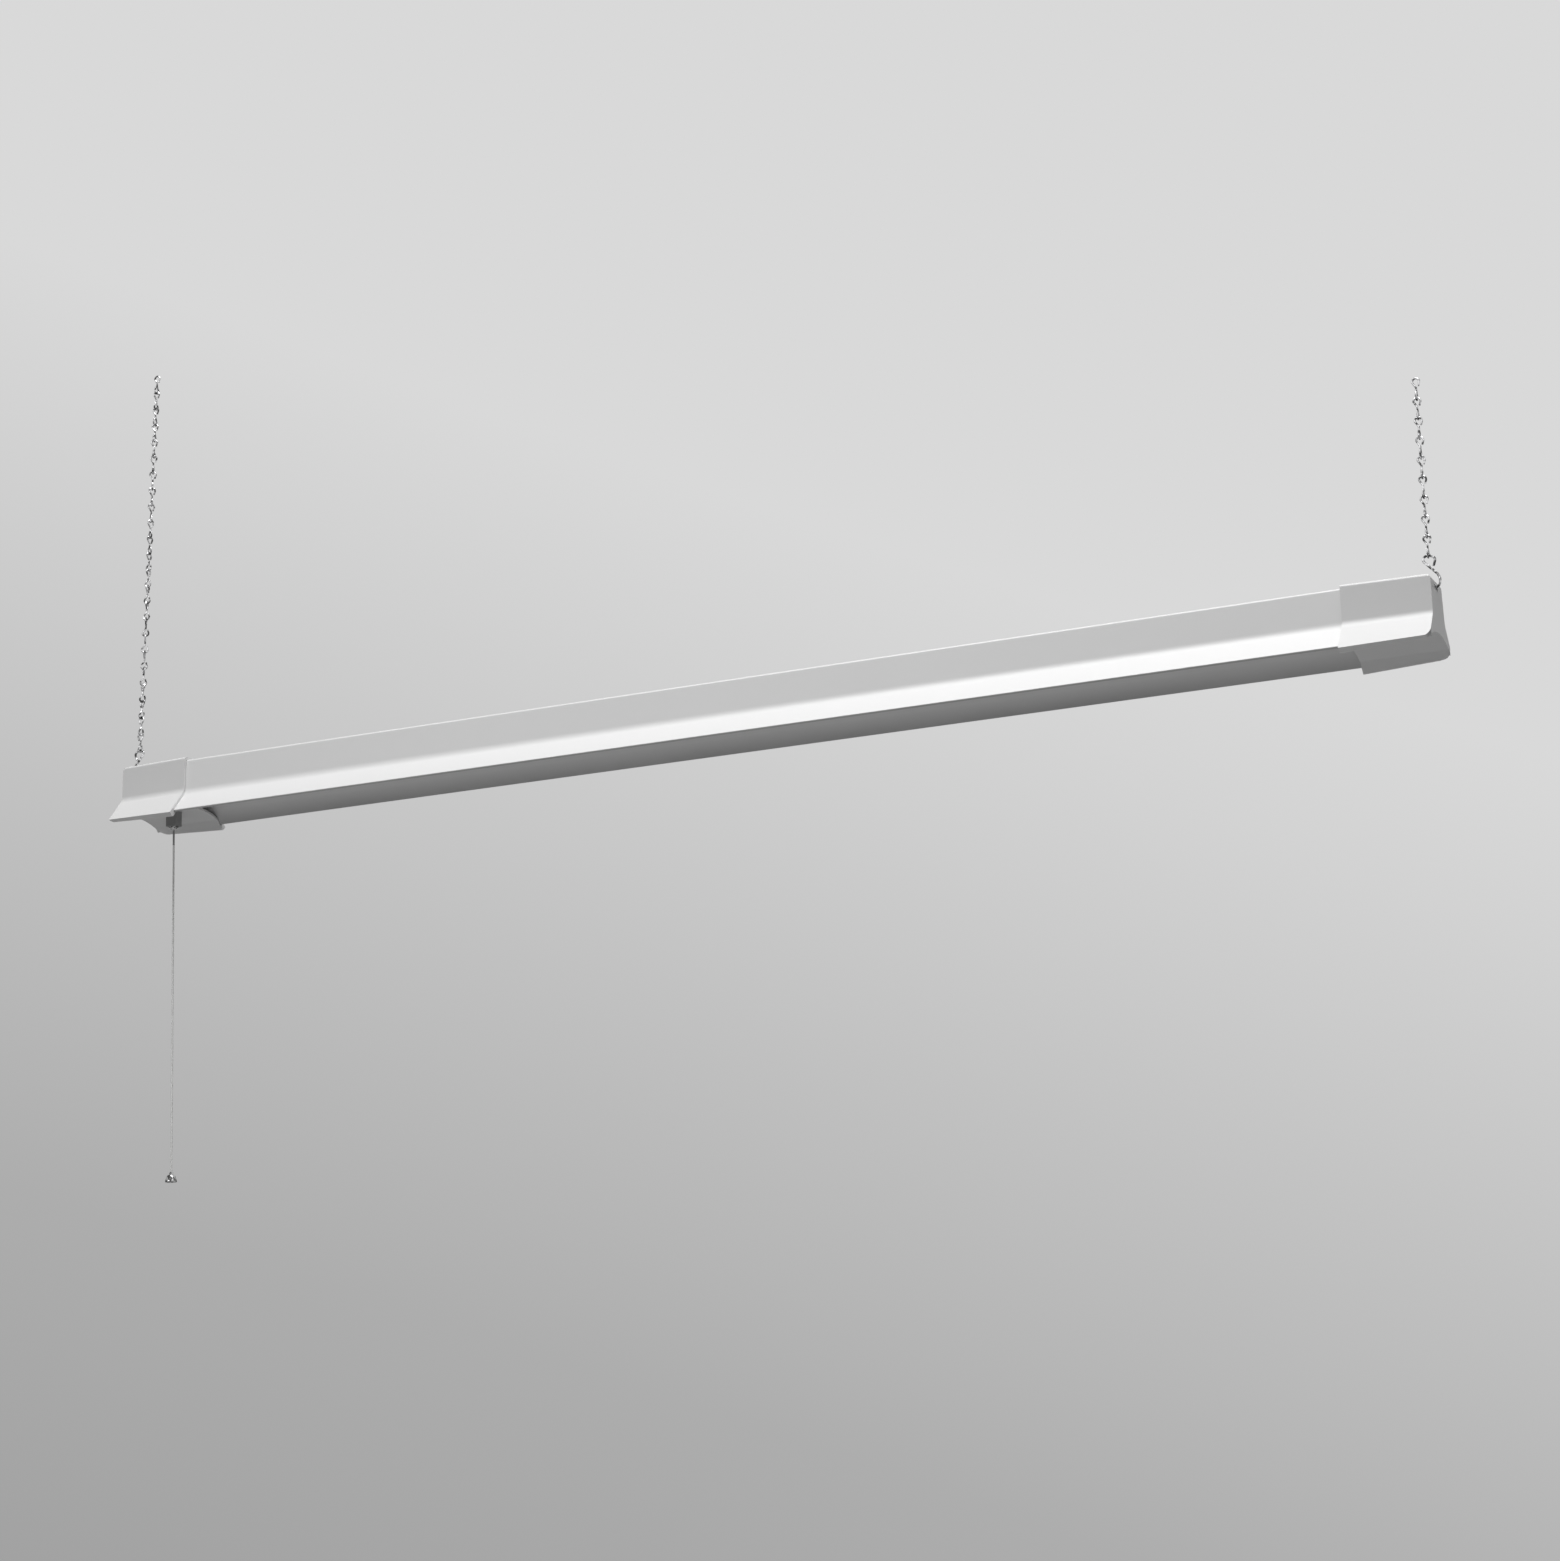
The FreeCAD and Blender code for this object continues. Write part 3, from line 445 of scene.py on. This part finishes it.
cap_finish = Finish("white_moulded_plastic", (0.67, 0.67, 0.67), 0.40)
grain = cap_finish.place.noise(1500, 2)
cap_finish.feed("Roughness", 0.34 + grain * 0.12)
cap_finish.bump(grain, 0.12, 0.0002)
for side in ("left", "right"):
    cap = moulded(side + "_moulded_cap", side + "_end_cap", 0.35)
    wear(cap, cap_finish, "light", "cap_plastic", side + "_end_cap")

screw_finish = Finish("zinc_screw", (0.66, 0.66, 0.67), 0.32, 1.0)
screw_finish.feed("Roughness", 0.26 + screw_finish.place.noise(900) * 0.14)
cap_screws = moulded("cap_screw_heads", "end_cap_screws", 0.3)
wear(cap_screws, screw_finish, "light", "screw_steel", "end_cap_screws")

# ---------------------------------------------------------------- lens and lamps
# A frosted sheet slides into the lower grooves. Above it a zinc plate holds the
# lamp boards, face down, in the upper grooves.
lens_finish = Finish("frosted_lens", (0.86, 0.86, 0.86), 0.6)
frost = lens_finish.place.noise(2200, 1)
lens_finish.feed("Roughness", 0.52 + frost * 0.16)
lens_finish.bump(frost, 0.2, 0.00015)
lens = moulded("frosted_lens_sheet", "lens", 0.15)
wear(lens, lens_finish, "light", "lens_plastic", "lens")

plate_finish = Finish("rolled_zinc_plate", (0.72, 0.72, 0.73), 0.35, 1.0)
rolling = plate_finish.place.noise(300, 3, (0.06, 1, 1))
plate_finish.feed("Roughness", 0.28 + rolling * 0.2)
plate_finish.bump(rolling, 0.08, 0.0002)
plate = moulded("zinc_carrier_plate", "carrier_plate", 0.15)
wear(plate, plate_finish, "light", "plate_steel", "carrier_plate")

board_finish = Finish("white_board_mask", (0.88, 0.88, 0.87), 0.3)
tracks = board_finish.place.axes()[1] * 900.0
lines = tracks.math("SINE").math("GREATER_THAN", 0.86)
board_finish.feed("Base Color", lines.tint((0.88, 0.88, 0.87), (0.78, 0.78, 0.76)))
for side in ("left", "right"):
    board = moulded(side + "_lamp_board", side + "_led_board", 0.12)
    wear(board, board_finish, "light", "board_white", side + "_led_board")

chip_finish = Finish("yellow_lamp_face", (0.85, 0.78, 0.45), 0.4)
chip_finish.feed("Roughness", 0.34 + chip_finish.place.noise(1200) * 0.16)
chips = moulded("lamp_chips", "led_chips", 0.15)
wear(chips, chip_finish, "light", "chip_plastic", "led_chips")

plug_finish = Finish("ivory_connector_plastic", (0.76, 0.75, 0.72), 0.45)
plug_finish.feed("Roughness", 0.4 + plug_finish.place.noise(1100) * 0.12)
plug = moulded("board_plug_and_socket", "board_connector", 0.3)
wear(plug, plug_finish, "light", "connector_plastic", "board_connector")

# ---------------------------------------------------------------- driver and wiring
# The driver lies on the carrier plate under two tabs. Wires run from the inlet
# through the switch and twist-on connectors to it, and on to the boards.
driver_finish = Finish("grey_driver_case", (0.78, 0.78, 0.78), 0.5)
case_grain = driver_finish.place.noise(1300, 2)
driver_finish.feed("Roughness", 0.42 + case_grain * 0.14)
driver_finish.bump(case_grain, 0.15, 0.0002)
driver = moulded("driver_case", "led_driver", 0.5)
wear(driver, driver_finish, "light", "driver_plastic", "led_driver")

twist_ons = moulded("twist_on_connectors", "wire_connectors", 0.4)
wear(twist_ons, plug_finish, "light", "connector_plastic", "wire_connectors")

bushing_finish = Finish("black_moulded_plastic", (0.06, 0.06, 0.06), 0.5)
pores = bushing_finish.place.noise(1400, 2)
bushing_finish.feed("Roughness", 0.44 + pores * 0.14)
bushing_finish.bump(pores, 0.12, 0.0002)
inlet = moulded("cord_inlet_bushing", "inlet_bushing", 0.3)
wear(inlet, bushing_finish, "light", "bushing_plastic", "inlet_bushing")


def wire_tree(name, material):
    """A wire bent round its corners, repeated down a leaning row with a growing turn."""
    tree = bpy.data.node_groups.new(name, "GeometryNodeTree")
    inputs = socket_names(tree, {"Wire radius": "Float", "Bend steps": "Int", "Count": "Int",
                                 "Pitch": "Float", "Turn": "Float", "Lean": "Float",
                                 "Start": "Vector"})
    corners = inputs["Geometry"]
    curve = corners.node("GeometryNodeMeshToCurve", None, {0: corners})
    bend = corners.node("GeometryNodeInputNamedAttribute", {"data_type": "FLOAT"},
                        {"Name": "bend"})
    rounded = corners.node("GeometryNodeFilletCurve", {"mode": "POLY"},
                           {"Curve": curve, "Count": inputs["Bend steps"], "Radius": bend,
                            "Limit Radius": True})
    ring = corners.node("GeometryNodeCurvePrimitiveCircle", None,
                        {"Resolution": 12, "Radius": inputs["Wire radius"]})
    wire = corners.node("GeometryNodeCurveToMesh", None,
                        {"Curve": rounded, "Profile Curve": ring, "Fill Caps": True})
    down = corners.node("ShaderNodeCombineXYZ", None, {"Z": inputs["Pitch"] * -1.0})
    row = corners.node("GeometryNodeMeshLine", None,
                       {"Count": inputs["Count"], "Offset": down})
    number = corners.node("GeometryNodeInputIndex")
    turn = corners.node("ShaderNodeCombineXYZ", None, {"Z": number * inputs["Turn"]})
    links = corners.node("GeometryNodeInstanceOnPoints", None,
                         {"Points": row, "Instance": wire, "Rotation": turn})
    lean = corners.node("ShaderNodeCombineXYZ", None, {"Y": inputs["Lean"]})
    hung = corners.node("GeometryNodeTransform", None,
                        {"Geometry": links, "Translation": inputs["Start"], "Rotation": lean})
    close_tree(tree, hung, material)
    return tree


def wire_row(tree, name, corners, radius, start, count=1, pitch=0.0, turn=0.0, lean=0.0):
    values = {"Wire radius": radius / 1000, "Bend steps": 8, "Count": count,
              "Pitch": pitch / 1000, "Turn": math.radians(turn), "Lean": math.radians(lean),
              "Start": start}
    return made_by(tree, name, [c[:3] for c in corners], [c[3] for c in corners], False,
                   values, 60.0)


lead_finish = Finish("black_wire_insulation", (0.05, 0.05, 0.05), 0.45)
lead_finish.feed("Roughness", 0.4 + lead_finish.place.noise(500) * 0.15)
lead_tree = wire_tree("lead_wire", lead_finish.material)
lead_radius = 1.1
lead_height = 41.3
lamp_lead_x = -190.0
# for each pair: three points (x, z) from the middle of the light, the bend, and each lead's y
lead_runs = {
    "switch_leads": ([(switch_x, 24.0), (switch_x, lead_height), (-500.0, lead_height)],
                     6.0, (-8.0, 0.0)),
    "supply_leads": ([(-480.0, lead_height), (-430.0, lead_height), (-380.0, lead_height)],
                     0.0, (-8.0, 0.0)),
    "lamp_leads": ([(-210.0, lead_height), (lamp_lead_x, lead_height), (lamp_lead_x, 31.3)],
                   3.0, (-4.0, 4.0)),
}
for node, (run, bend, places) in lead_runs.items():
    joined = bmesh.new()
    for y in places:
        corners = [(px, y, pz, bend if k == 1 else 0) for k, (px, pz) in enumerate(run)]
        lead = wire_row(lead_tree, node + "_insulated", corners, lead_radius, light_centre)
        joined.from_mesh(lead.data)
        bpy.data.objects.remove(lead)
    leads = shaded(node + "_pair", joined, 60.0)
    wear(leads, lead_finish, "light", "lead_rubber", node)

# ---------------------------------------------------------------- pull switch
# A dark moulded switch hangs through the left cap's arched plate. A plated
# bushing and a hex nut guide the plunger that the cord pulls.
switch_finish = Finish("dark_switch_case", (0.28, 0.28, 0.28), 0.42)
switch_grain = switch_finish.place.noise(1400, 2)
switch_finish.feed("Roughness", 0.36 + switch_grain * 0.14)
switch_finish.bump(switch_grain, 0.12, 0.0002)
switch = moulded("switch_case", "pull_switch_body", 0.25)
wear(switch, switch_finish, "light", "switch_plastic", "pull_switch_body")

plating = Finish("bright_plating", (0.55, 0.55, 0.55), 0.14, 1.0)
# Painted reflection: dark and bright patches in the plating's base colour stand in for the highlights
# and dark spots its chrome reflects; the same noise varies its roughness.
plating_painted_reflection = plating.place.noise(420, 2)
plating.feed("Base Color", plating_painted_reflection.between(0.40, 0.60).tint((0.14,) * 3, (0.85,) * 3))
plating.feed("Roughness", 0.10 + plating_painted_reflection * 0.14)
for node, name in (("switch_bushing", "plated_bushing"), ("switch_nut", "plated_hex_nut")):
    wear(moulded(name, node, 0.2), plating, "light", "switch_brass", node)
plunger = moulded("plunger_rod", "pull_plunger", 0.12)
wear(plunger, screw_finish, "plunger", "screw_steel", "pull_plunger")

# ---------------------------------------------------------------- hooks
# Each hook is one 2 mm wire: its lower bend goes through the slots in the cap's
# roof and end wall, and the crook above it carries the last link.
chain_finish = Finish("bright_zinc_wire", (0.45, 0.45, 0.45), 0.2, 1.0)
# Painted reflection: dark and bright patches in the wire's base colour stand in for the contrast of
# its plated shine; the darker patches are also rougher.
chain_painted_reflection = chain_finish.place.noise(330, 2).between(0.42, 0.60)
chain_finish.feed("Base Color", chain_painted_reflection.tint((0.08, 0.08, 0.08), (0.85, 0.85, 0.86)))
chain_finish.feed("Roughness", 0.30 - chain_painted_reflection * 0.16)
chain_tree = wire_tree("bent_zinc_wire", chain_finish.material)
end_wall_x = 609.0
slot_top = 46.8
eye_height = 50.196            # centre of the hook's lower bend
hook_bend = 4.6
inside = end_wall_x - hook_bend
outside = end_wall_x + hook_bend
hook_corners = [(inside, eye_height + 3.3, 0), (inside, eye_height - hook_bend, 4.595),
                (outside, eye_height - hook_bend, 4.595), (outside, slot_top + 7.8, 9.0),
                (end_wall_x - 9.0, slot_top + 22.6, 3.0), (end_wall_x - 3.0, slot_top + 25.6, 2.2),
                (end_wall_x + 2.6, slot_top + 22.1, 2.6), (end_wall_x + 0.5, slot_top + 16.1, 0)]
for side, way, body in (("right", 1, "right_hanger"), ("left", -1, "left_hanger")):
    corners = [(way * px, 0.0, pz, bend) for px, pz, bend in hook_corners]
    hook = wire_row(chain_tree, side + "_wire_hook", corners, 1.0, light_centre)
    wear(hook, chain_finish, body, "chain_steel", side + "_hook")

# ---------------------------------------------------------------- chains
# Single jack chain of 1.6 mm wire: each link is one wire bent into two loops,
# square to each other, and hooks into the next every 16 mm.
chain_wire = 1.6
chain_pitch = 16.0
loop_centre = 6.06
loop_radius = 2.8
cut_tip = (1.75, 2.4)
neck_bend = 1.6


def jack_link():
    """Centre line of one link, from one cut tip through both loops to the other."""
    half = [cut_tip]
    for k in range(13):
        angle = math.radians(-6.0 + 192.0 * k / 12)
        half.append((loop_radius * math.cos(angle),
                     loop_centre + loop_radius * math.sin(angle)))
    half.append((0.0, 1.4))
    bends = [0.0] * (len(half) - 1) + [neck_bend]
    upper = [(a, 0.0, b, r) for (a, b), r in zip(half, bends)]
    lower = [(0.0, -a, -b, r) for (a, b), r in zip(reversed(half), reversed(bends))]
    return upper + lower


def hang(name, top, lean, first, count, turn, body, node):
    """Links of a chain from its top loop, leaning, as a plain mesh."""
    fall = Vector((math.sin(math.radians(lean)), 0, math.cos(math.radians(lean))))
    start = top - fall * (loop_centre + chain_pitch * first) / 1000
    piece = wire_row(chain_tree, name, jack_link(), chain_wire / 2, start, count, chain_pitch,
                     turn, lean)
    wear(piece, chain_finish, body, "chain_steel", node)


left_top = Vector((0, 0, 0))
right_top = Vector((1.1979601, 0, -0.2236647))
left_lean = 2.5                # degrees
right_lean = 0.8
left_links = 23
right_links = 9
link_turn = 9.0                # degrees that each lower link of the left chain turns on the last
hang("left_top_link", left_top, left_lean, 0, 1, 0, "ceiling_link", "left_chain_top_link")
hang("left_second_link", left_top, left_lean, 1, 1, 0, "hanging_link", "left_chain_second_link")
hang("left_jack_chain", left_top, left_lean, 2, left_links - 2, link_turn, "left_hanger",
     "left_chain")
hang("right_top_link", right_top, right_lean, 0, 1, 0, "right_hanger", "right_chain_top_link")
hang("right_jack_chain", right_top, right_lean, 1, right_links - 1, 0, "right_hanger", "right_chain")

# ---------------------------------------------------------------- studio
# A pale floor far below, a large soft lamp above and in front of the light, a weaker
# one low in front, and a plain grey surround that darkens to the lower left.
disc = bmesh.new()
bmesh.ops.create_circle(disc, cap_ends=True, segments=96, radius=3.6)
bmesh.ops.translate(disc, vec=(0.6, 0.0, -1.95), verts=disc.verts)
floor = shaded("studio_floor", disc)
floor_finish = Finish("pale_floor", (0.66, 0.66, 0.66), 0.8)
floor.data.materials.append(floor_finish.material)


def soft_lamp(name, place, aim, size, power):
    """A square area lamp at a place, turned to an aim."""
    data = bpy.data.lights.new(name, "AREA")
    data.shape = "RECTANGLE"
    data.size, data.size_y = size
    data.energy = power
    lamp = bpy.data.objects.new(name, data)
    lamp.location = place
    lamp.rotation_euler = (Vector(aim) - Vector(place)).to_track_quat("-Z", "Y").to_euler()
    collection.objects.link(lamp)


soft_lamp("overhead_lamp", (0.95, -0.62, 1.75), (0.70, 0, -0.42), (2.6, 1.4), 76.0)
soft_lamp("front_lamp", (-0.7, -3.0, 0.35), (0.3, 0, -0.5), (1.6, 1.6), 15.0)

surround = bpy.data.worlds.new("grey_surround")
surround.use_nodes = True
bpy.context.scene.world = surround
air = surround.node_tree
way = Field(air).node("ShaderNodeTexCoord", out=0)
wx, wy, wz = way.axes()
height = (wz + wx * 0.415 + 0.35) * (1 / 0.6)
shade = height.node("ShaderNodeValToRGB", {"stops": [
    (0.083, 0.361), (0.283, 0.418), (0.508, 0.533), (0.713, 0.644), (0.817, 0.694)]},
    {0: height})
rays = air.nodes.new("ShaderNodeLightPath")
seen = Field(air, rays.outputs["Is Camera Ray"]).math(
    "MAXIMUM", Field(air, rays.outputs["Is Glossy Ray"])).math(
    "MAXIMUM", Field(air, rays.outputs["Is Transmission Ray"]))
plain_light = seen.node("ShaderNodeBackground", None,
                        {"Color": (0.5, 0.5, 0.5, 1), "Strength": 0.20})
shown = seen.node("ShaderNodeBackground", None, {"Color": shade, "Strength": 1.0})
both = seen.node("ShaderNodeMixShader", None, {0: seen, 1: plain_light, 2: shown})
air.links.new(both.socket, air.nodes["World Output"].inputs["Surface"])

bpy.context.scene.view_settings.view_transform = "Standard"
